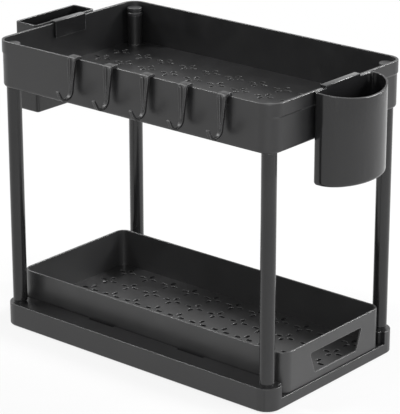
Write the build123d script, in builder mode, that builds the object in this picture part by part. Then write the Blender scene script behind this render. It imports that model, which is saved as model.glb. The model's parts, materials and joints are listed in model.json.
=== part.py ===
from build123d import *
import math
import os

# Two-tier organizer. Millimetres, +Z up. The origin is on the floor, under the middle of
# the base. +X points along the length, to the short side where the drawer slides out.

# Overall form, shared by the base and the top tray
body_length = 380.0
body_width = 222.8
corner_radius = 17.0
edge_radius = 0.8

# Fits: a plugged joint, a hanging or sliding piece beside its neighbour, and the overrun of cuts
plug_clearance = 0.05
hang_clearance = 0.3
overrun = 4.0

# Non-slip pads, set in shallow recesses under the corners
pad_radius = 9.0
pad_thickness = 2.0
pad_recess = 1.2
pad_clearance = 0.3
pad_edge_radius = 0.4

# Posts: tubes with a narrow neck that goes up through the top tray
post_radius = 8.0
post_wall = 2.0
post_inset_x = 13.7
post_inset_y = 13.0
post_length = 250.6
post_foot_radius = 1.5
post_head_thickness = 10.0
post_neck_wall = 2.0

# Base: a flat deck around a channel for the drawer
base_height = 25.7
base_wall = 2.2
base_foot_chamfer = 0.8
channel_depth = 13.9
channel_rear_wall = 3.1
deck_beside_post = 5.2
mouth_depth = 5.0
mouth_flare = 4.8
notch_length = 36.0
notch_depth = 3.0
notch_spacing = 128.0
rib_pitch = 36.0
rib_thickness = 1.8
seat_radius = 7.0
seat_height = 1.5
spigot_height = 30.0
spigot_tip_chamfer = 0.8

# Drawer
drawer_height = 45.8
drawer_wall = 2.0
drawer_floor = 2.1
drawer_corner_radius = 12.0
drawer_side_gap = 0.8
drawer_rear_gap = 0.6
drawer_setback = 2.1
drawer_rim_radius = 0.6
drawer_foot_radius = 0.8
handle_sill = 8.6
handle_height = 24.2
handle_top_width = 91.0
handle_bottom_width = 73.0
handle_offset = 4.4
handle_corner_radius = 2.5
drawer_flower_pitch_x = 32.4
drawer_flower_pitch_y = 32.0

# Top tray
tray_height = 51.9
tray_wall = 2.0
tray_floor = 2.4
tray_floor_rise = 4.4
tray_foot_radius = 3.5
tray_foot_ring = 6.0
band_height = 13.5
band_proud = 1.3
band_slope = 2.0
sleeve_wall = 2.1
sleeve_height = 34.6
sleeve_seat_wall = 3.0
tray_flower_pitch_x = 33.1
tray_flower_pitch_y = 31.4

# Flower-shaped drain slots: four oval petals around a centre
petal_length = 8.0
petal_width = 4.2
petal_reach_x = 8.0
petal_reach_y = 7.0
flower_margin = 16.0

# Caps that lock the tray on the posts
cap_gap = 0.2
cap_ring_thickness = 2.8
cap_neck_step = 1.4
cap_neck_height = 2.6
cap_disc_step = 0.4
cap_disc_thickness = 3.0
cap_edge_radius = 0.7
cap_plug_length = 14.0
cap_bore_spare = 4.0

# Hooks over the long rim: an arch, a leaning shank that narrows downwards, and a narrow J
hook_count = 5
hook_pitch = 50.7
hook_shift = 28.9
hook_thickness = 2.8
hook_standoff = 3.1
hook_leg = 14.5
hook_head_width = 10.4
hook_head_height = 9.0
hook_neck_width = 8.6
hook_neck_drop = 17.0
hook_stem_width = 5.4
hook_stem_drop = 33.0
hook_bend_width = 3.6
hook_shank = 35.9
hook_lean = 1.8
hook_throat_radius = 7.4
hook_throw_angle = 65.0
hook_tip_length = 7.6
hook_tip_thickness = 1.8
hook_arch_radius = 4.5
hook_arch_inner_radius = 1.7
hook_rear_radius = 2.0
hook_groove_top_width = 4.0
hook_groove_end_width = 0.8
hook_groove_depth = 1.1

# Hanging cup and box, clipped over the short rims
hanger_wall = 2.0
clip_thickness = 2.2
clip_leg = 16.8
clip_offset = 1.0
clip_edge_radius = 0.8
cup_half_width = 49.0
cup_side_depth = 7.7
cup_bow_depth = 33.1
cup_back_radius = 5.0
cup_height = 97.5
cup_rim_drop = 0.4
cup_rim_dip = 6.7
cup_foot_radius = 4.0
cup_offset = 2.4
cup_clip_width = 57.2
box_length = 31.9
box_width = 95.0
box_height = 100.2
box_rim_rise = 1.4
box_corner_radius = 4.0
box_foot_radius = 2.0
box_offset = -0.9
box_clip_width = 48.0
hanger_rim_radius = 0.5

# Levels worked out from the sizes above
base_bottom = pad_thickness - pad_recess
base_top = base_bottom + base_height
channel_floor = base_top - channel_depth
post_bottom = base_top + seat_height
tray_bottom = post_bottom + post_length
tray_floor_top = tray_bottom + tray_floor_rise
tray_top = tray_bottom + tray_height
sleeve_top = tray_floor_top + sleeve_height

# Radii of the plugged joints, from the post outwards to the cap
post_bore_radius = post_radius - post_wall
spigot_radius = post_bore_radius - plug_clearance
sleeve_bore_radius = post_radius - sleeve_wall
neck_radius = sleeve_bore_radius - plug_clearance
neck_bore_radius = neck_radius - post_neck_wall
plug_radius = neck_bore_radius - plug_clearance
pad_pocket_radius = pad_radius + pad_clearance
pad_boss_radius = pad_pocket_radius + base_wall

# Places shared by several pieces
half_length = body_length / 2
half_width = body_width / 2
post_x = half_length - post_inset_x
post_y = half_width - post_inset_y
channel_half_width = post_y - post_radius - deck_beside_post
channel_rear_x = -half_length + channel_rear_wall
wall_length = body_length - 2 * band_proud
inner_length = wall_length - 2 * tray_wall
inner_width = body_width - 2 * tray_wall
inner_corner_radius = corner_radius - tray_wall
corner_reach_x = max(post_x - inner_length / 2 + inner_corner_radius, 0)
corner_reach_y = max(post_y - inner_width / 2 + inner_corner_radius, 0)
corner_room = inner_corner_radius - math.hypot(corner_reach_x, corner_reach_y)
cap_ring_radius = corner_room - cap_gap
cap_disc_radius = cap_ring_radius - cap_disc_step
cap_neck_radius = cap_disc_radius - cap_neck_step
corners = {
    "front_left": (-post_x, -post_y),
    "front_right": (post_x, -post_y),
    "rear_left": (-post_x, post_y),
    "rear_right": (post_x, post_y),
}


def copies(span, pitch):
    """How many flowers fit along an inner span, with one at the middle."""
    return 2 * int((span / 2 - flower_margin) // pitch) + 1


def flowers(span_x, span_y, pitch_x, pitch_y):
    """Adds a grid of four-petal slots to the sketch that is open."""
    with GridLocations(pitch_x, pitch_y, copies(span_x, pitch_x), copies(span_y, pitch_y)):
        with Locations((petal_reach_x, 0), (-petal_reach_x, 0)):
            SlotOverall(petal_length, petal_width)
        with Locations((0, petal_reach_y), (0, -petal_reach_y)):
            SlotOverall(petal_length, petal_width, rotation=90)


os.makedirs("parts", exist_ok=True)

# Base: outer block, drawer channel with its mouth and notches, rounded edges, ribbed underside
with BuildPart() as base_tray:
    with BuildSketch(Plane.XY.offset(base_bottom)):
        RectangleRounded(body_length, body_width, corner_radius)
    extrude(amount=base_height)

    channel_reach = half_length + drawer_corner_radius + overrun - channel_rear_x
    with BuildSketch(Plane.XY.offset(channel_floor)):
        with Locations((channel_rear_x + channel_reach / 2, 0)):
            RectangleRounded(channel_reach, 2 * channel_half_width, drawer_corner_radius)
        with Locations((half_length, 0)):
            Rectangle(2 * mouth_depth, 2 * (channel_half_width + mouth_flare))
        with GridLocations(notch_spacing, 2 * channel_half_width, 2, 2):
            Rectangle(notch_length, 2 * notch_depth)
    extrude(amount=channel_depth + overrun, mode=Mode.SUBTRACT)
    fillet(base_tray.edges().filter_by(Axis.Z).group_by(Axis.X)[-1].sort_by(Axis.Y)[1:-1], edge_radius)
    fillet(base_tray.edges().group_by(Axis.Z)[-1], edge_radius)
    fillet(base_tray.edges().filter_by(Axis.Y).group_by(Axis.X)[-1].group_by(Axis.Z)[1], edge_radius)
    chamfer(base_tray.edges().group_by(Axis.Z)[0], base_foot_chamfer)

    ribbed_length = body_length - 2 * (mouth_depth + base_wall)
    rib_columns = math.ceil(ribbed_length / rib_pitch)
    rib_rows = math.ceil(2 * channel_half_width / rib_pitch)
    cell_x = ribbed_length / rib_columns
    cell_y = 2 * channel_half_width / rib_rows
    with BuildSketch(Plane.XY.offset(base_bottom)):
        with GridLocations(cell_x, cell_y, rib_columns, rib_rows):
            Rectangle(cell_x - rib_thickness, cell_y - rib_thickness)
    extrude(amount=channel_floor - base_wall - base_bottom, mode=Mode.SUBTRACT)

    side_inner = channel_half_width + notch_depth + base_wall
    side_outer = half_width - base_wall
    with BuildSketch(Plane.XY.offset(base_bottom)):
        with GridLocations(cell_x, side_inner + side_outer, rib_columns, 2):
            Rectangle(cell_x - rib_thickness, side_outer - side_inner)
        with Locations(*corners.values()):
            Circle(pad_boss_radius, mode=Mode.SUBTRACT)
    extrude(amount=base_height - base_wall, mode=Mode.SUBTRACT)

    with BuildSketch(Plane.XY.offset(base_bottom)):
        with Locations(*corners.values()):
            Circle(pad_pocket_radius)
    extrude(amount=pad_recess, mode=Mode.SUBTRACT)

    with BuildSketch(Plane.XY.offset(base_top)):
        with Locations(*corners.values()):
            Circle(seat_radius)
    extrude(amount=seat_height)
    with BuildSketch(Plane.XY.offset(post_bottom)):
        with Locations(*corners.values()):
            Circle(spigot_radius)
    extrude(amount=spigot_height)
    chamfer(base_tray.edges().group_by(Axis.Z)[-1], spigot_tip_chamfer)
base_tray.part.label = "base_tray"
export_step(base_tray.part, "parts/base_tray.step")

# Pads, posts and caps, one of each at every corner
for corner, (x, y) in corners.items():
    with BuildPart() as foot_pad:
        with BuildSketch():
            with Locations((x, y)):
                Circle(pad_radius)
        extrude(amount=pad_thickness)
        fillet(foot_pad.edges().group_by(Axis.Z)[0], pad_edge_radius)
    foot_pad.part.label = "foot_pad_" + corner
    export_step(foot_pad.part, "parts/foot_pad_" + corner + ".step")

    with BuildPart() as post:
        with BuildSketch(Plane.XY.offset(post_bottom)):
            with Locations((x, y)):
                Circle(post_radius)
        extrude(amount=post_length)
        fillet(post.edges().group_by(Axis.Z)[0], post_foot_radius)
        with BuildSketch(Plane.XY.offset(tray_bottom)):
            with Locations((x, y)):
                Circle(neck_radius)
        extrude(amount=sleeve_top - tray_bottom - hang_clearance)
        with BuildSketch(Plane.XY.offset(post_bottom)):
            with Locations((x, y)):
                Circle(post_bore_radius)
        extrude(amount=post_length - post_head_thickness, mode=Mode.SUBTRACT)
        with BuildSketch(Plane.XY.offset(sleeve_top)):
            with Locations((x, y)):
                Circle(neck_bore_radius)
        extrude(amount=-(cap_plug_length + cap_bore_spare), mode=Mode.SUBTRACT)
    post.part.label = "post_" + corner
    export_step(post.part, "parts/post_" + corner + ".step")

    with BuildPart() as post_cap:
        with BuildSketch(Plane.XY.offset(sleeve_top - cap_plug_length)):
            with Locations((x, y)):
                Circle(plug_radius)
        extrude(amount=cap_plug_length)
        with BuildSketch(Plane.XY.offset(sleeve_top)):
            with Locations((x, y)):
                Circle(cap_ring_radius)
        extrude(amount=cap_ring_thickness)
        fillet(post_cap.edges().group_by(Axis.Z)[-1], cap_edge_radius)
        with BuildSketch(Plane.XY.offset(sleeve_top + cap_ring_thickness)):
            with Locations((x, y)):
                Circle(cap_neck_radius)
        extrude(amount=cap_neck_height)
        with BuildSketch(Plane.XY.offset(sleeve_top + cap_ring_thickness + cap_neck_height)):
            with Locations((x, y)):
                Circle(cap_disc_radius)
        extrude(amount=cap_disc_thickness)
        fillet(post_cap.edges().group_by(Axis.Z)[-1], cap_edge_radius)
    post_cap.part.label = "post_cap_" + corner
    export_step(post_cap.part, "parts/post_cap_" + corner + ".step")

# Drawer: thin-walled tray with a handle opening in its flat front panel
drawer_rear_x = channel_rear_x + drawer_rear_gap
drawer_front_x = half_length - drawer_setback
drawer_length = drawer_front_x - drawer_rear_x
drawer_width = 2 * (channel_half_width - drawer_side_gap)
drawer_middle_x = (drawer_front_x + drawer_rear_x) / 2
drawer_inner_length = drawer_length - 2 * drawer_wall
drawer_inner_width = drawer_width - 2 * drawer_wall
drawer_middle = Location((drawer_middle_x, 0))
with BuildPart() as drawer:
    with BuildSketch(Plane.XY.offset(channel_floor)):
        with Locations(drawer_middle):
            RectangleRounded(drawer_length, drawer_width, drawer_corner_radius)
    extrude(amount=drawer_height)
    fillet(drawer.edges().group_by(Axis.Z)[0], drawer_foot_radius)
    with BuildSketch(Plane.XY.offset(channel_floor + drawer_floor)):
        with Locations(drawer_middle):
            RectangleRounded(drawer_inner_length, drawer_inner_width, drawer_corner_radius - drawer_wall)
    extrude(amount=drawer_height, mode=Mode.SUBTRACT)
    fillet(drawer.edges().group_by(Axis.Z)[-1], drawer_rim_radius)
    with BuildSketch(Plane.YZ.offset(drawer_front_x - drawer_wall - overrun)) as handle:
        with BuildLine():
            sill = channel_floor + handle_sill
            Polyline(
                (handle_offset - handle_top_width / 2, sill + handle_height),
                (handle_offset + handle_top_width / 2, sill + handle_height),
                (handle_offset + handle_bottom_width / 2, sill),
                (handle_offset - handle_bottom_width / 2, sill),
                close=True,
            )
        make_face()
        fillet(handle.vertices(), handle_corner_radius)
    extrude(amount=drawer_wall + 2 * overrun, mode=Mode.SUBTRACT)
    with BuildSketch(Plane.XY.offset(channel_floor)):
        with Locations(drawer_middle):
            flowers(
                drawer_inner_length, drawer_inner_width, drawer_flower_pitch_x, drawer_flower_pitch_y
            )
    extrude(amount=drawer_floor, mode=Mode.SUBTRACT)
drawer.part.label = "drawer"
export_step(drawer.part, "parts/drawer.step")

# Top tray: walls, a band proud of the short sides, recessed underside and corner sleeves
with BuildPart() as top_tray:
    slope_bottom = tray_top - band_height - band_slope
    with BuildSketch(Plane.XY.offset(tray_bottom)):
        RectangleRounded(wall_length, body_width, corner_radius)
    extrude(amount=slope_bottom - tray_bottom)
    fillet(top_tray.edges().group_by(Axis.Z)[0], tray_foot_radius)
    with BuildSketch(Plane.XY.offset(slope_bottom)):
        RectangleRounded(wall_length, body_width, corner_radius)
    with BuildSketch(Plane.XY.offset(slope_bottom + band_slope)):
        RectangleRounded(body_length, body_width, corner_radius)
    loft(ruled=True)
    with BuildSketch(Plane.XY.offset(tray_top - band_height)):
        RectangleRounded(body_length, body_width, corner_radius)
    extrude(amount=band_height)
    with BuildSketch(Plane.XY.offset(tray_floor_top)):
        RectangleRounded(inner_length, inner_width, inner_corner_radius)
    extrude(amount=tray_height, mode=Mode.SUBTRACT)
    fillet(top_tray.edges().group_by(Axis.Z)[-1], edge_radius)

    with BuildSketch(Plane.XY.offset(tray_bottom)):
        RectangleRounded(
            wall_length - 2 * tray_foot_ring,
            body_width - 2 * tray_foot_ring,
            corner_radius - tray_foot_ring,
        )
        with Locations(*corners.values()):
            Circle(post_radius + sleeve_seat_wall, mode=Mode.SUBTRACT)
    extrude(amount=tray_floor_rise - tray_floor, mode=Mode.SUBTRACT)

    with BuildSketch(Plane.XY.offset(tray_floor_top)):
        with Locations(*corners.values()):
            Circle(post_radius)
    extrude(amount=sleeve_height)
    with BuildSketch(Plane.XY.offset(tray_bottom)):
        with Locations(*corners.values()):
            Circle(sleeve_bore_radius)
    extrude(amount=tray_floor_rise + sleeve_height, mode=Mode.SUBTRACT)
    with BuildSketch(Plane.XY.offset(tray_bottom)):
        flowers(inner_length, inner_width, tray_flower_pitch_x, tray_flower_pitch_y)
    extrude(amount=tray_floor_rise, mode=Mode.SUBTRACT)
top_tray.part.label = "top_tray"
export_step(top_tray.part, "parts/top_tray.step")

# Hooks: a side profile, cut to the narrowing front outline, with a tapering groove down the shank
leg_outer_y = -inner_width / 2 + hang_clearance
leg_inner_y = leg_outer_y + hook_thickness
arch_inner_y = -half_width - hang_clearance - hook_standoff
arch_outer_y = arch_inner_y - hook_thickness
shank_inner_y = arch_inner_y - hook_lean
shank_outer_y = arch_outer_y - hook_lean
saddle_top = tray_top + hook_thickness
shank_end = saddle_top - hook_shank
leg_end = tray_top - hook_leg
bend_outer_radius = hook_throat_radius + hook_thickness
bend_y = shank_outer_y - hook_throat_radius
bend_turn = 90 + hook_throw_angle
throw = math.radians(hook_throw_angle)
front_half_outline = [
    (hook_head_width / 2, saddle_top),
    (hook_head_width / 2, saddle_top - hook_head_height),
    (hook_neck_width / 2, saddle_top - hook_neck_drop),
    (hook_stem_width / 2, saddle_top - hook_stem_drop),
    (hook_bend_width / 2, shank_end - bend_outer_radius),
]


def tip_point(radius, run):
    """A side-view point on the tip, this far past the bend's arc of this radius."""
    return (
        bend_y - math.sin(throw) * radius - math.cos(throw) * run,
        shank_end - math.cos(throw) * radius + math.sin(throw) * run,
    )


for number in range(1, hook_count + 1):
    hook_x = (number - (hook_count + 1) / 2) * hook_pitch + hook_shift
    right_side = [(hook_x + x, z) for x, z in front_half_outline]
    left_side = [(hook_x - x, z) for x, z in reversed(front_half_outline)]
    with BuildPart() as groove:
        with BuildSketch(Plane.YZ.offset(hook_x - hook_head_width / 2)):
            with BuildLine():
                Polyline(
                    (arch_outer_y + hook_groove_depth, saddle_top),
                    (shank_outer_y + hook_groove_depth, shank_end),
                    (shank_outer_y - overrun, shank_end),
                    (arch_outer_y - overrun, saddle_top),
                    close=True,
                )
            make_face()
        extrude(amount=hook_head_width)
        with BuildSketch(Plane.XZ.offset(-arch_inner_y)):
            with BuildLine():
                Polyline(
                    (hook_x - hook_groove_top_width / 2, saddle_top),
                    (hook_x + hook_groove_top_width / 2, saddle_top),
                    (hook_x + hook_groove_end_width / 2, shank_end),
                    (hook_x - hook_groove_end_width / 2, shank_end),
                    close=True,
                )
            make_face()
        extrude(amount=hook_thickness + hook_lean + 2 * overrun, mode=Mode.INTERSECT)
    with BuildPart() as hook:
        with BuildSketch(Plane.YZ.offset(hook_x - hook_head_width / 2)) as side:
            with BuildLine():
                CenterArc((bend_y, shank_end), bend_outer_radius, 0, -bend_turn)
                Polyline(
                    tip_point(bend_outer_radius, 0),
                    tip_point(bend_outer_radius, hook_tip_length),
                    tip_point(bend_outer_radius - hook_tip_thickness, hook_tip_length),
                    tip_point(hook_throat_radius, 0),
                )
                CenterArc((bend_y, shank_end), hook_throat_radius, -bend_turn, bend_turn)
                Polyline(
                    (shank_outer_y, shank_end),
                    (arch_outer_y, saddle_top),
                    (leg_inner_y, saddle_top),
                    (leg_inner_y, leg_end),
                    (leg_outer_y, leg_end),
                    (leg_outer_y, tray_top),
                    (arch_inner_y, tray_top),
                    (shank_inner_y, shank_end),
                )
            make_face()
            fillet(side.vertices().group_by(Axis.Y)[-2].sort_by(Axis.X)[0], hook_arch_inner_radius)
            fillet(side.vertices().group_by(Axis.Y)[-1].sort_by(Axis.X)[0], hook_arch_radius)
            fillet(side.vertices().group_by(Axis.Y)[-1].sort_by(Axis.X)[-1], hook_rear_radius)
        extrude(amount=hook_head_width)
        with BuildSketch(Plane.XZ.offset(-leg_inner_y - overrun)):
            with BuildLine():
                Polyline(*right_side, *left_side, close=True)
            make_face()
        reach = leg_inner_y - tip_point(bend_outer_radius, hook_tip_length)[0]
        extrude(amount=reach + 2 * overrun, mode=Mode.INTERSECT)
        with BuildSketch(Plane.XZ.offset(-bend_y)):
            with Locations((hook_x, shank_end)):
                Rectangle(2 * hook_head_width, 4 * bend_outer_radius)
                Rectangle(hook_bend_width, 4 * bend_outer_radius, mode=Mode.SUBTRACT)
        extrude(amount=reach, mode=Mode.SUBTRACT)
        add(groove.part, mode=Mode.SUBTRACT)
    hook.part.label = "hook_" + str(number)
    export_step(hook.part, "parts/hook_" + str(number) + ".step")


def clip_outline(side_x):
    """The saddle and inner leg that hold a vessel on the short rim at this side, in side view."""
    back = side_x * (half_length + hang_clearance)
    outer = back + side_x * hanger_wall
    inner = side_x * (inner_length / 2 - hang_clearance)
    leg = inner - side_x * clip_thickness
    top = tray_top + clip_thickness
    foot = tray_top - clip_leg
    return [
        (outer, foot),
        (outer, top),
        (leg, top),
        (leg, foot),
        (inner, foot),
        (inner, tray_top),
        (back, tray_top),
        (back, foot),
    ]


# Cup: flat back, short straight sides and a bow, with a rim that curves down to the front
cup_back_x = half_length + hang_clearance
cup_side_x = cup_back_x + cup_side_depth
cup_rim_back = tray_top - cup_rim_drop
cup_bottom = cup_rim_back - cup_height
cup_depth = cup_side_depth + cup_bow_depth
cup_reach = cup_depth + overrun
rim_arc_radius = (cup_depth**2 + cup_rim_dip**2) / (2 * cup_rim_dip)
rim_arc_turn = math.degrees(math.asin(cup_reach / rim_arc_radius))


def cup_outline(inset):
    """The cup's outline seen from above, drawn in by this much."""
    side_y = cup_half_width - inset
    with BuildSketch() as outline:
        with BuildLine():
            EllipticalCenterArc((cup_side_x, cup_offset), cup_bow_depth - inset, side_y, -90, arc_size=180)
            Polyline(
                (cup_side_x, cup_offset + side_y),
                (cup_back_x + inset, cup_offset + side_y),
                (cup_back_x + inset, cup_offset - side_y),
                (cup_side_x, cup_offset - side_y),
            )
        make_face()
        fillet(outline.vertices().group_by(Axis.X)[0], cup_back_radius - inset)
    return outline.sketch


cup_outer = cup_outline(0)
cup_inner = cup_outline(hanger_wall)
with BuildPart() as hanging_cup:
    with BuildSketch(Plane.XY.offset(cup_bottom)):
        add(cup_outer)
    extrude(amount=cup_height)
    fillet(hanging_cup.edges().group_by(Axis.Z)[0], cup_foot_radius)
    with BuildSketch(Plane.XY.offset(cup_bottom + hanger_wall)):
        add(cup_inner)
    extrude(amount=cup_height, mode=Mode.SUBTRACT)
    with BuildSketch(Plane.XZ.offset(-cup_offset - cup_half_width - overrun)):
        with BuildLine():
            rim = CenterArc((cup_back_x, cup_rim_back - rim_arc_radius), rim_arc_radius, 90, -rim_arc_turn)
            Polyline(
                rim @ 1,
                (cup_back_x + cup_reach, tray_top + overrun),
                (cup_back_x - overrun, tray_top + overrun),
                (cup_back_x - overrun, cup_rim_back),
                rim @ 0,
            )
        make_face()
    extrude(amount=2 * (cup_half_width + overrun), mode=Mode.SUBTRACT)
    with BuildSketch(Plane.XZ.offset(-clip_offset - cup_clip_width / 2)) as clip:
        with BuildLine():
            Polyline(*clip_outline(1), close=True)
        make_face()
        fillet(clip.vertices().group_by(Axis.Y)[-1], clip_edge_radius)
    extrude(amount=cup_clip_width)
hanging_cup.part.label = "hanging_cup"
export_step(hanging_cup.part, "parts/hanging_cup.step")

# Box: square hanging vessel with its rim just above the tray's
box_bottom = tray_top + box_rim_rise - box_height
box_middle = Location((-half_length - hang_clearance - box_length / 2, box_offset))
with BuildPart() as hanging_box:
    with BuildSketch(Plane.XY.offset(box_bottom)):
        with Locations(box_middle):
            RectangleRounded(box_length, box_width, box_corner_radius)
    extrude(amount=box_height)
    fillet(hanging_box.edges().group_by(Axis.Z)[0], box_foot_radius)
    with BuildSketch(Plane.XY.offset(box_bottom + hanger_wall)):
        with Locations(box_middle):
            RectangleRounded(
                box_length - 2 * hanger_wall,
                box_width - 2 * hanger_wall,
                box_corner_radius - hanger_wall,
            )
    extrude(amount=box_height, mode=Mode.SUBTRACT)
    fillet(hanging_box.edges().group_by(Axis.Z)[-1], hanger_rim_radius)
    with BuildSketch(Plane.XZ.offset(-clip_offset - box_clip_width / 2)) as clip:
        with BuildLine():
            Polyline(*clip_outline(-1), close=True)
        make_face()
        fillet(clip.vertices().group_by(Axis.Y)[-1], clip_edge_radius)
    extrude(amount=box_clip_width)
hanging_box.part.label = "hanging_box"
export_step(hanging_box.part, "parts/hanging_box.step")
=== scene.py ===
import json
import math

import bpy
from bpy.props import FloatProperty, FloatVectorProperty, PointerProperty
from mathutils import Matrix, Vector


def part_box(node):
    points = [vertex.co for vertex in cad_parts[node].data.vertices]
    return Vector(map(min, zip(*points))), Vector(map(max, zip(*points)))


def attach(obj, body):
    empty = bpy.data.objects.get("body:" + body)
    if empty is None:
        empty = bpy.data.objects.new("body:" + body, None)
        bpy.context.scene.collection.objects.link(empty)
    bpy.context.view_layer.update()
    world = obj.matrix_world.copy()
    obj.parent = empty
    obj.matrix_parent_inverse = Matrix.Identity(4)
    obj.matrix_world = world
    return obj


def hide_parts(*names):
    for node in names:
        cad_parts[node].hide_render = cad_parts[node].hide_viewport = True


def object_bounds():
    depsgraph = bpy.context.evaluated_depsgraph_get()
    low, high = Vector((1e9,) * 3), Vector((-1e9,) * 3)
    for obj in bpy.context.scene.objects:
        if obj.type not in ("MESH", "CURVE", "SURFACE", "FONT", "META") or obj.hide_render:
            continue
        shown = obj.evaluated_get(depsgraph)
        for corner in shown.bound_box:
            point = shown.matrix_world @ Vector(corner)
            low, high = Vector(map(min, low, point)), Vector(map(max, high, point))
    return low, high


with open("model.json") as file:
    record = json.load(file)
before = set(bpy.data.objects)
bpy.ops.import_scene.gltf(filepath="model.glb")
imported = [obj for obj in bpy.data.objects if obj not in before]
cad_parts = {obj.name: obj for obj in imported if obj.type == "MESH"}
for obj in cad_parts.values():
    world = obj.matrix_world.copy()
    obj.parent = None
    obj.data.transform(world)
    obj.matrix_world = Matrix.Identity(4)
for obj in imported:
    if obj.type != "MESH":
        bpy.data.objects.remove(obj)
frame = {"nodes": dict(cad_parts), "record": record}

bl_info = {
    "name": "Under sink organizer",
    "version": (1, 0, 0),
    "blender": (4, 5, 0),
    "location": "3D View > Sidebar > Organizer",
    "description": "Dresses a two-tier organizer of moulded plastic and sets it on a plain stage",
    "category": "Object",
}

CAD_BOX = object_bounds()
BODY_OF = {
    node: body
    for body, nodes in frame["record"]["behaviour"]["bodies"].items()
    for node in nodes
}

# Copies of CAD nodes: joined corners, flat faces, sharp edges, and faces that look sideways.
MERGE_DISTANCE = 0.00001
FLAT_ANGLE = math.radians(1)
SHARP_ANGLE = math.radians(35)
SIDEWAYS = 0.8
ROUNDING_SEGMENTS = 3

# Plastic: how many patches of tint and of gloss fit in a metre, how fine they are, the range of
# the noise that counts, and how far tint and gloss swing to both sides of the settings.
TINT_SCALE, TINT_DETAIL = 14, 4
GLOSS_SCALE, GLOSS_DETAIL = 45, 3
NOISE_LOW, NOISE_HIGH = 0.3, 0.7
TINT_SWING = 0.18
GLOSS_SWING = 0.05
GRAIN_DETAIL = 2
GRAIN_STRENGTH = 0.5
PLAIN_IOR = 1.5

# Edges: samples of the softened normal, and how well it agrees with the face where the painted
# highlight starts and where it is full.
EDGE_SAMPLES = 8
HIGHLIGHT_START, HIGHLIGHT_FULL = 0.97, 0.8

# Where edges stay hard: beyond this half length or half width, and below this height.
HARD_NOWHERE = (1, 1, 0)
HARD_EVERYWHERE = (0, 0, 1)

# Stage: the floor is matt, and the camera has the usual sensor.
FLOOR_SIZE = 24
FLOOR_ROUGHNESS = 0.9
FLOOR_SPECULAR = 0.1
SENSOR_WIDTH = 36
CLIP_NEAR, CLIP_FAR = 0.1, 60
WHITE = (1, 1, 1, 1)


class OrganizerFinish(bpy.types.PropertyGroup):
    """Colours and gloss of the mouldings."""

    shell_colour: FloatVectorProperty(
        name="Shell colour", description="Base and top tray", subtype="COLOR",
        size=3, min=0, max=1, default=(0.0105, 0.0105, 0.011))
    drawer_colour: FloatVectorProperty(
        name="Drawer colour", description="Moulded plastic of the drawer", subtype="COLOR",
        size=3, min=0, max=1, default=(0.022, 0.022, 0.0225))
    post_colour: FloatVectorProperty(
        name="Post colour", description="Extruded tubes of the posts", subtype="COLOR",
        size=3, min=0, max=1, default=(0.012, 0.012, 0.0125))
    cap_colour: FloatVectorProperty(
        name="Cap colour", description="Caps that lock the tray on the posts", subtype="COLOR",
        size=3, min=0, max=1, default=(0.02, 0.02, 0.021))
    hanger_colour: FloatVectorProperty(
        name="Cup and box colour", description="Hanging cup and hanging box", subtype="COLOR",
        size=3, min=0, max=1, default=(0.011, 0.011, 0.0115))
    hook_colour: FloatVectorProperty(
        name="Hook colour", description="Hooks on the long rim", subtype="COLOR",
        size=3, min=0, max=1, default=(0.012, 0.012, 0.0125))
    # Painted highlight: a pale colour mixed into the plastic along its softened edges, to draw
    # bright rim lines.
    edge_highlight_colour: FloatVectorProperty(
        name="Edge highlight colour", description="Painted highlight along the edges", subtype="COLOR",
        size=3, min=0, max=1, default=(0.2, 0.2, 0.202))
    pad_colour: FloatVectorProperty(
        name="Pad colour", description="Rubber pads beneath the base", subtype="COLOR",
        size=3, min=0, max=1, default=(0.012, 0.012, 0.012))
    shell_roughness: FloatProperty(
        name="Shell roughness", description="Satin gloss of the large mouldings",
        min=0, max=1, default=0.36)
    shell_ior: FloatProperty(
        name="Shell refraction", description="Refractive index of the base's and tray's plastic",
        min=1, max=2, default=1.56)
    drawer_ior: FloatProperty(
        name="Drawer refraction", description="Refractive index of the drawer's plastic",
        min=1, max=2, default=1.6)
    hanger_roughness: FloatProperty(
        name="Cup and box roughness", description="Gloss of the hanging cup and box",
        min=0, max=1, default=0.16)
    post_roughness: FloatProperty(
        name="Post roughness", description="Satin gloss of the posts",
        min=0, max=1, default=0.18)
    hook_roughness: FloatProperty(
        name="Hook roughness", description="Gloss of the small bent hooks",
        min=0, max=1, default=0.46)
    pad_roughness: FloatProperty(
        name="Pad roughness", description="Matt surface of the pads",
        min=0, max=1, default=0.85)
    grain_size: FloatProperty(
        name="Grain size", description="Width of the fine moulding grain",
        subtype="DISTANCE", unit="LENGTH", min=0.0001, max=0.01, default=0.0006)
    grain_height: FloatProperty(
        name="Grain height", description="Height of the fine moulding grain",
        subtype="DISTANCE", unit="LENGTH", min=0, max=0.001, default=0.000012)
    edge_softness: FloatProperty(
        name="Edge softness", description="Radius at which edges catch the light",
        subtype="DISTANCE", unit="LENGTH", min=0, max=0.005, default=0.001)
    hard_edge_height: FloatProperty(
        name="Hard edge height",
        description="From the underside of a tray up to where its edges are soft",
        subtype="DISTANCE", unit="LENGTH", min=0, max=0.05, default=0.008)
    hard_edge_reach: FloatProperty(
        name="Hard edge reach",
        description="From the outside of a tray in to where its edges are soft",
        subtype="DISTANCE", unit="LENGTH", min=0, max=0.05, default=0.015)
    hook_edge_radius: FloatProperty(
        name="Hook edge radius", description="Rounding along the edges of the hooks",
        subtype="DISTANCE", unit="LENGTH", min=0, max=0.001, default=0.00085)
    vessel_edge_radius: FloatProperty(
        name="Cup and box edge radius", description="Rounding along the rims and clips",
        subtype="DISTANCE", unit="LENGTH", min=0, max=0.001, default=0.0006)


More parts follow.
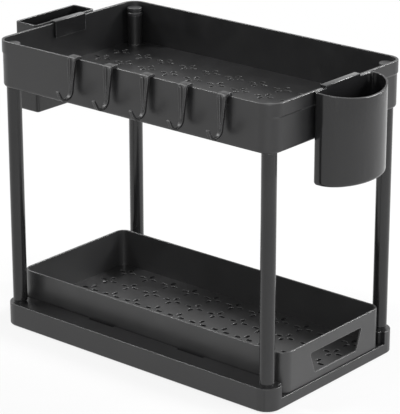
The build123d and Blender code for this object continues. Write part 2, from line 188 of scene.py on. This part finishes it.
class OrganizerStage(bpy.types.PropertyGroup):
    """Camera, floor and lamps."""

    camera_place: FloatVectorProperty(
        name="Camera place", description="Where the camera stands", subtype="XYZ", unit="LENGTH",
        size=3, default=(1.43774, -1.70099, 0.95908))
    camera_yaw: FloatProperty(
        name="Camera yaw", description="Turn of the view to the left of the rear",
        subtype="ANGLE", default=math.radians(40.039))
    camera_pitch: FloatProperty(
        name="Camera pitch", description="Tilt of the view below the horizon",
        subtype="ANGLE", default=math.radians(19.729))
    camera_lens: FloatProperty(
        name="Lens", description="Focal length for a 36 mm sensor", min=10, max=500, default=189.65)
    camera_shift: FloatVectorProperty(
        name="Shift", description="Offset of the picture's middle", size=2,
        default=(-0.0075, -0.0179))
    floor_colour: FloatVectorProperty(
        name="Floor colour", description="Plain pale floor", subtype="COLOR",
        size=3, min=0, max=1, default=(0.8, 0.8, 0.8))
    floor_near: FloatProperty(
        name="Paper reach", description="Distance up to which the floor shows its shadows fully",
        subtype="DISTANCE", unit="LENGTH", min=0, max=10, default=0.3)
    floor_far: FloatProperty(
        name="White reach", description="Distance from which the floor is as white as the studio",
        subtype="DISTANCE", unit="LENGTH", min=0, max=10, default=1.2)
    floor_whiteness: FloatProperty(
        name="Floor whiteness",
        description="Share of plain white that the camera sees in the near floor",
        subtype="FACTOR", min=0, max=1, default=0.8)
    sky_strength: FloatProperty(
        name="Studio strength", description="Even light of the white studio",
        min=0, max=5, default=0.12)
    lamp_distance: FloatProperty(
        name="Lamp distance", description="From the middle of the object to each lamp",
        subtype="DISTANCE", unit="LENGTH", min=1, max=10, default=2.2)
    key_power: FloatProperty(
        name="Key lamp", description="Large soft lamp high on the left",
        unit="POWER", min=0, max=500, default=3)
    front_power: FloatProperty(
        name="Front lamp", description="Soft lamp above the camera",
        unit="POWER", min=0, max=500, default=16)
    rear_power: FloatProperty(
        name="Rear lamp", description="Lamp behind on the right, which draws the rims",
        unit="POWER", min=0, max=500, default=38)
    edge_power: FloatProperty(
        name="Edge lamp", description="Small lamp on the left, which the long edges reflect",
        unit="POWER", min=0, max=500, default=26)
    right_power: FloatProperty(
        name="Right lamp", description="Lamp low on the right, for the inner walls at the left",
        unit="POWER", min=0, max=500, default=42)
    left_power: FloatProperty(
        name="Left lamp", description="Weak lamp low on the left",
        unit="POWER", min=0, max=500, default=8)


def finish_settings():
    """The colours and gloss that the panel shows."""
    return bpy.context.scene.organizer_finish


def stage_settings():
    """The camera, floor and lamp values that the panel shows."""
    return bpy.context.scene.organizer_stage


def add_node(tree, kind, inputs=None, **properties):
    """A new shader node, whose inputs are linked to the outputs or set to the values given."""
    node = tree.nodes.new("ShaderNode" + kind)
    for name, value in properties.items():
        setattr(node, name, value)
    for key, value in (inputs or {}).items():
        if isinstance(value, bpy.types.NodeSocket):
            tree.links.new(value, node.inputs[key])
        else:
            node.inputs[key].default_value = value
    return node


def maths(tree, operation, first, second):
    """The result of a sum."""
    return add_node(tree, "Math", {0: first, 1: second}, operation=operation).outputs["Value"]


def noise(tree, place, scale, detail):
    """The strength of a noise at this place."""
    inputs = {"Vector": place, "Scale": scale, "Detail": detail}
    return add_node(tree, "TexNoise", inputs).outputs["Fac"]


def seen_plainly(tree):
    """The output that is one for the camera's, mirror and glass rays, and nought for others."""
    rays = add_node(tree, "LightPath").outputs
    reflected = maths(tree, "MAXIMUM", rays["Is Camera Ray"], rays["Is Glossy Ray"])
    return maths(tree, "MAXIMUM", reflected, rays["Is Transmission Ray"])


def wall_foot(node):
    """The half length, half width and height between which a tray's walls meet its floor."""
    low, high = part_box(node)
    settings = finish_settings()
    reach = settings.hard_edge_reach
    return high.x - reach, high.y - reach, low.z + settings.hard_edge_height


def soft_normal(tree, place, flat, foot):
    """The faces' own normal at the foot, and elsewhere one that is softened along the edges."""
    spread = add_node(tree, "VectorMath", {0: place}, operation="ABSOLUTE").outputs["Vector"]
    sides = add_node(tree, "SeparateXYZ", {"Vector": spread}).outputs
    half_length, half_width, height = foot
    past_end = maths(tree, "GREATER_THAN", sides["X"], half_length)
    past_side = maths(tree, "GREATER_THAN", sides["Y"], half_width)
    low_down = maths(tree, "LESS_THAN", sides["Z"], height)
    hard = maths(tree, "MULTIPLY", maths(tree, "MAXIMUM", past_end, past_side), low_down)
    radius = finish_settings().edge_softness
    soft = add_node(tree, "Bevel", {"Radius": radius}, samples=EDGE_SAMPLES).outputs["Normal"]
    inputs = {"Factor": hard, "A": soft, "B": flat}
    return add_node(tree, "Mix", inputs, data_type="VECTOR").outputs["Result"]


def moulded_plastic(name, colour, roughness, foot=HARD_NOWHERE, ior=PLAIN_IOR):
    """A satin plastic with a fine grain, uneven gloss and soft edges with a painted highlight, but
    for the foot.
    """
    settings = finish_settings()
    material = bpy.data.materials.new(name)
    material.use_nodes = True
    tree = material.node_tree
    shader = tree.nodes["Principled BSDF"]
    shader.inputs["IOR"].default_value = ior
    place = add_node(tree, "TexCoord").outputs["Object"]
    flat = add_node(tree, "NewGeometry").outputs["Normal"]

    tint = add_node(tree, "ValToRGB", {"Fac": noise(tree, place, TINT_SCALE, TINT_DETAIL)})
    dark, light = tint.color_ramp.elements
    dark.position, light.position = NOISE_LOW, NOISE_HIGH
    dark.color = [part * (1 - TINT_SWING) for part in colour] + [1]
    light.color = [part * (1 + TINT_SWING) for part in colour] + [1]

    gloss = add_node(tree, "MapRange", {
        "Value": noise(tree, place, GLOSS_SCALE, GLOSS_DETAIL),
        "From Min": NOISE_LOW, "From Max": NOISE_HIGH,
        "To Min": roughness - GLOSS_SWING, "To Max": roughness + GLOSS_SWING})
    tree.links.new(gloss.outputs["Result"], shader.inputs["Roughness"])

    facing = soft_normal(tree, place, flat, foot)
    relief = add_node(tree, "Bump", {
        "Height": noise(tree, place, 1 / settings.grain_size, GRAIN_DETAIL),
        "Strength": GRAIN_STRENGTH, "Distance": settings.grain_height, "Normal": facing})
    tree.links.new(relief.outputs["Normal"], shader.inputs["Normal"])

    # Painted highlight: where the softened normal leans away from the face, the colour turns
    # towards the pale edge colour.
    likeness = add_node(tree, "VectorMath", {0: facing, 1: flat}, operation="DOT_PRODUCT")
    highlight_share = add_node(tree, "MapRange", {
        "Value": likeness.outputs["Value"], "From Min": HIGHLIGHT_START, "From Max": HIGHLIGHT_FULL})
    highlighted_tint = add_node(tree, "Mix", {
        "Factor": highlight_share.outputs["Result"], "A": tint.outputs["Color"],
        "B": [*settings.edge_highlight_colour, 1]}, data_type="RGBA")
    tree.links.new(highlighted_tint.outputs["Result"], shader.inputs["Base Color"])
    return material


def dress(node, material):
    """Gives a CAD node its material."""
    thing = frame["nodes"][node]
    thing.data.materials.clear()
    thing.data.materials.append(material)


def nodes_named(start):
    """The CAD nodes whose names start with this word, in order."""
    return sorted(name for name in frame["nodes"] if name.startswith(start))


def pick(piece):
    """Selects this piece alone and makes it the active one."""
    bpy.ops.object.select_all(action="DESELECT")
    piece.select_set(True)
    bpy.context.view_layer.objects.active = piece


def merged_copy(node, material):
    """A copy of a CAD node with its triangles joined, which moves with it and stands for it."""
    piece = bpy.data.objects.new(node + "_moulded", frame["nodes"][node].data.copy())
    bpy.context.scene.collection.objects.link(piece)
    pick(piece)
    bpy.ops.object.mode_set(mode="EDIT")
    bpy.ops.mesh.select_all(action="SELECT")
    bpy.ops.mesh.remove_doubles(threshold=MERGE_DISTANCE)
    bpy.ops.mesh.dissolve_limited(angle_limit=FLAT_ANGLE)
    bpy.ops.object.mode_set(mode="OBJECT")
    piece.data.materials.clear()
    piece.data.materials.append(material)
    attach(piece, BODY_OF[node])
    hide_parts(node)
    return piece


def any_edge(*faces):
    """Wants every sharp edge."""
    return True


def outer_edge(middle):
    """A test that wants the edges of faces that look sideways and away from this place on X."""
    def test(*faces):
        return any(
            abs(face.normal.x) > SIDEWAYS and face.normal.x * (face.center.x - middle) > 0
            for face in faces)
    return test


def round_edges(piece, radius, wanted):
    """Rounds the sharp edges between two faces that the test wants, and shades the rest smooth."""
    mesh = piece.data
    faces_at = {}
    for face in mesh.polygons:
        for key in face.edge_keys:
            faces_at.setdefault(key, []).append(face)
    for group in (mesh.vertices, mesh.polygons):
        group.foreach_set("select", [False] * len(group))
    for edge in mesh.edges:
        faces = faces_at[edge.key]
        sharp = len(faces) == 2 and faces[0].normal.angle(faces[1].normal) > SHARP_ANGLE
        edge.select = sharp and wanted(*faces)
        for corner in edge.vertices:
            mesh.vertices[corner].select |= edge.select
    pick(piece)
    bpy.context.tool_settings.mesh_select_mode = (False, True, False)
    bpy.ops.object.mode_set(mode="EDIT")
    bpy.ops.mesh.bevel(
        offset=radius, segments=ROUNDING_SEGMENTS, affect="EDGES", clamp_overlap=True)
    bpy.ops.object.mode_set(mode="OBJECT")
    bpy.ops.object.shade_smooth_by_angle(angle=SHARP_ANGLE)


class ORGANIZER_OT_base(bpy.types.Operator):
    """Finish the base with its drawer channel"""

    bl_idname = "organizer.base"
    bl_label = "Base"

    def execute(self, context):
        settings = finish_settings()
        dress("base_tray", moulded_plastic(
            "base_plastic", settings.shell_colour, settings.shell_roughness,
            foot=HARD_EVERYWHERE, ior=settings.shell_ior))
        return {"FINISHED"}


class ORGANIZER_OT_drawer(bpy.types.Operator):
    """Finish the sliding drawer"""

    bl_idname = "organizer.drawer"
    bl_label = "Drawer"

    def execute(self, context):
        settings = finish_settings()
        dress("drawer", moulded_plastic(
            "drawer_plastic", settings.drawer_colour, settings.shell_roughness,
            foot=wall_foot("drawer"), ior=settings.drawer_ior))
        return {"FINISHED"}


class ORGANIZER_OT_posts(bpy.types.Operator):
    """Finish the four posts and the caps that lock the tray on them"""

    bl_idname = "organizer.posts"
    bl_label = "Posts and caps"

    def execute(self, context):
        settings = finish_settings()
        tubes = moulded_plastic("post_plastic", settings.post_colour, settings.post_roughness)
        caps = moulded_plastic("cap_plastic", settings.cap_colour, settings.shell_roughness)
        for node in nodes_named("post_"):
            dress(node, caps if node.startswith("post_cap_") else tubes)
        return {"FINISHED"}


class ORGANIZER_OT_pads(bpy.types.Operator):
    """Finish the rubber pads beneath the base"""

    bl_idname = "organizer.pads"
    bl_label = "Pads"

    def execute(self, context):
        settings = finish_settings()
        rubber = moulded_plastic("pad_rubber", settings.pad_colour, settings.pad_roughness)
        for node in nodes_named("foot_pad_"):
            dress(node, rubber)
        return {"FINISHED"}


class ORGANIZER_OT_tray(bpy.types.Operator):
    """Finish the top tray"""

    bl_idname = "organizer.tray"
    bl_label = "Top tray"

    def execute(self, context):
        settings = finish_settings()
        dress("top_tray", moulded_plastic(
            "tray_plastic", settings.shell_colour, settings.shell_roughness,
            foot=wall_foot("top_tray"), ior=settings.shell_ior))
        return {"FINISHED"}


class ORGANIZER_OT_hooks(bpy.types.Operator):
    """Finish the hooks on the long rim"""

    bl_idname = "organizer.hooks"
    bl_label = "Hooks"

    def execute(self, context):
        settings = finish_settings()
        plastic = moulded_plastic("hook_plastic", settings.hook_colour, settings.hook_roughness)
        for node in nodes_named("hook_"):
            low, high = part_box(node)
            wanted = outer_edge((low.x + high.x) / 2)
            round_edges(merged_copy(node, plastic), settings.hook_edge_radius, wanted)
        return {"FINISHED"}


class ORGANIZER_OT_vessels(bpy.types.Operator):
    """Finish the hanging cup and the hanging box"""

    bl_idname = "organizer.vessels"
    bl_label = "Cup and box"

    def execute(self, context):
        settings = finish_settings()
        plastic = moulded_plastic(
            "hanger_plastic", settings.hanger_colour, settings.hanger_roughness)
        for node in nodes_named("hanging_"):
            round_edges(merged_copy(node, plastic), settings.vessel_edge_radius, any_edge)
        return {"FINISHED"}


def make_floor():
    """Makes a pale floor that keeps its shadows near the object and turns white further off."""
    settings = stage_settings()
    bpy.ops.object.select_all(action="DESELECT")
    bpy.ops.mesh.primitive_plane_add(size=FLOOR_SIZE, location=(0, 0, 0))
    floor = bpy.context.object
    floor.name = "studio_floor"
    paper = bpy.data.materials.new("floor_paper")
    paper.use_nodes = True
    tree = paper.node_tree
    shader = tree.nodes["Principled BSDF"]
    shader.inputs["Base Color"].default_value = [*settings.floor_colour, 1]
    shader.inputs["Roughness"].default_value = FLOOR_ROUGHNESS
    shader.inputs["Specular IOR Level"].default_value = FLOOR_SPECULAR
    place = add_node(tree, "TexCoord").outputs["Object"]
    away = add_node(tree, "VectorMath", {"Vector": place}, operation="LENGTH").outputs["Value"]
    fade = add_node(tree, "MapRange", {
        "Value": away, "From Min": settings.floor_near, "From Max": settings.floor_far,
        "To Min": settings.floor_whiteness}).outputs["Result"]
    white = add_node(tree, "Emission", {"Color": WHITE})
    choice = add_node(tree, "MixShader", {
        "Fac": maths(tree, "MULTIPLY", seen_plainly(tree), fade),
        1: shader.outputs["BSDF"], 2: white.outputs["Emission"]})
    tree.links.new(choice.outputs["Shader"], tree.nodes["Material Output"].inputs["Surface"])
    floor.data.materials.append(paper)


def make_studio():
    """Makes white surroundings that light the object evenly and weakly."""
    world = bpy.data.worlds.new("studio")
    world.use_nodes = True
    bpy.context.scene.world = world
    tree = world.node_tree
    even = tree.nodes["Background"]
    even.inputs["Strength"].default_value = stage_settings().sky_strength
    even.inputs["Color"].default_value = WHITE
    white = add_node(tree, "Background", {"Color": WHITE})
    choice = add_node(tree, "MixShader", {
        "Fac": seen_plainly(tree),
        1: even.outputs["Background"], 2: white.outputs["Background"]})
    tree.links.new(choice.outputs["Shader"], tree.nodes["World Output"].inputs["Surface"])


def add_lamp(name, direction, width, power, mirrored=True):
    """A soft square lamp that looks at the middle of the object from this direction."""
    lamp = bpy.data.lights.new(name, "AREA")
    lamp.shape = "SQUARE"
    lamp.size = width
    lamp.energy = power
    holder = bpy.data.objects.new(name, lamp)
    bpy.context.scene.collection.objects.link(holder)
    holder.visible_glossy = mirrored
    middle = (Vector(CAD_BOX[0]) + Vector(CAD_BOX[1])) / 2
    holder.location = middle + Vector(direction).normalized() * stage_settings().lamp_distance
    holder.rotation_mode = "QUATERNION"
    holder.rotation_quaternion = (middle - holder.location).to_track_quat("-Z", "Y")


def make_lamps():
    """Puts the lamps round the object, one of them only to light it and not to be mirrored."""
    settings = stage_settings()
    add_lamp("key_lamp", (-0.55, -0.45, 0.72), width=2.0, power=settings.key_power)
    add_lamp("front_lamp", (0.6, -0.75, 0.35), width=1.0, power=settings.front_power)
    add_lamp("rear_lamp", (0.3, 0.72, 0.62), width=0.6, power=settings.rear_power)
    add_lamp("edge_lamp", (-0.6, -0.2, 0.77), width=0.4, power=settings.edge_power)
    add_lamp(
        "right_lamp", (0.95, 0.25, 0.21), width=1.0, power=settings.right_power, mirrored=False)
    add_lamp("left_lamp", (-1, 0, 0.35), width=1.0, power=settings.left_power)


def make_camera():
    """Puts the camera where the photograph was taken from."""
    settings = stage_settings()
    camera = bpy.data.objects.new("camera", bpy.data.cameras.new("camera"))
    bpy.context.scene.collection.objects.link(camera)
    yaw, pitch = settings.camera_yaw, settings.camera_pitch
    forward = Vector((
        -math.sin(yaw) * math.cos(pitch), math.cos(yaw) * math.cos(pitch), -math.sin(pitch)))
    camera.location = settings.camera_place
    camera.rotation_mode = "QUATERNION"
    camera.rotation_quaternion = forward.to_track_quat("-Z", "Y")
    camera.data.sensor_width = SENSOR_WIDTH
    camera.data.lens = settings.camera_lens
    camera.data.shift_x, camera.data.shift_y = settings.camera_shift
    camera.data.clip_start = CLIP_NEAR
    camera.data.clip_end = CLIP_FAR
    bpy.context.scene.camera = camera


class ORGANIZER_OT_stage(bpy.types.Operator):
    """Make the floor, the white studio, the lamps and the camera"""

    bl_idname = "organizer.stage"
    bl_label = "Stage"

    def execute(self, context):
        context.scene.view_settings.view_transform = "Standard"
        make_floor()
        make_studio()
        make_lamps()
        make_camera()
        return {"FINISHED"}


OPERATORS = (
    ORGANIZER_OT_base,
    ORGANIZER_OT_drawer,
    ORGANIZER_OT_posts,
    ORGANIZER_OT_pads,
    ORGANIZER_OT_tray,
    ORGANIZER_OT_hooks,
    ORGANIZER_OT_vessels,
    ORGANIZER_OT_stage,
)


class ORGANIZER_PT_panel(bpy.types.Panel):
    """The organizer's finishes and steps"""

    bl_idname = "ORGANIZER_PT_panel"
    bl_label = "Organizer"
    bl_space_type = "VIEW_3D"
    bl_region_type = "UI"
    bl_category = "Organizer"

    def draw(self, context):
        for group in (context.scene.organizer_finish, context.scene.organizer_stage):
            for name in group.__annotations__:
                self.layout.prop(group, name)
        for operator in OPERATORS:
            self.layout.operator(operator.bl_idname)


CLASSES = (OrganizerFinish, OrganizerStage, *OPERATORS, ORGANIZER_PT_panel)


def register():
    """Adds the classes and the settings to Blender."""
    for each in CLASSES:
        bpy.utils.register_class(each)
    bpy.types.Scene.organizer_finish = PointerProperty(type=OrganizerFinish)
    bpy.types.Scene.organizer_stage = PointerProperty(type=OrganizerStage)


def unregister():
    """Takes the classes and the settings out of Blender."""
    del bpy.types.Scene.organizer_stage
    del bpy.types.Scene.organizer_finish
    for each in reversed(CLASSES):
        bpy.utils.unregister_class(each)


def main():
    """Makes every piece and the stage."""
    register()
    bpy.ops.organizer.base()
    bpy.ops.organizer.drawer()
    bpy.ops.organizer.posts()
    bpy.ops.organizer.pads()
    bpy.ops.organizer.tray()
    bpy.ops.organizer.hooks()
    bpy.ops.organizer.vessels()
    bpy.ops.organizer.stage()


if __name__ == "__main__":
    main()
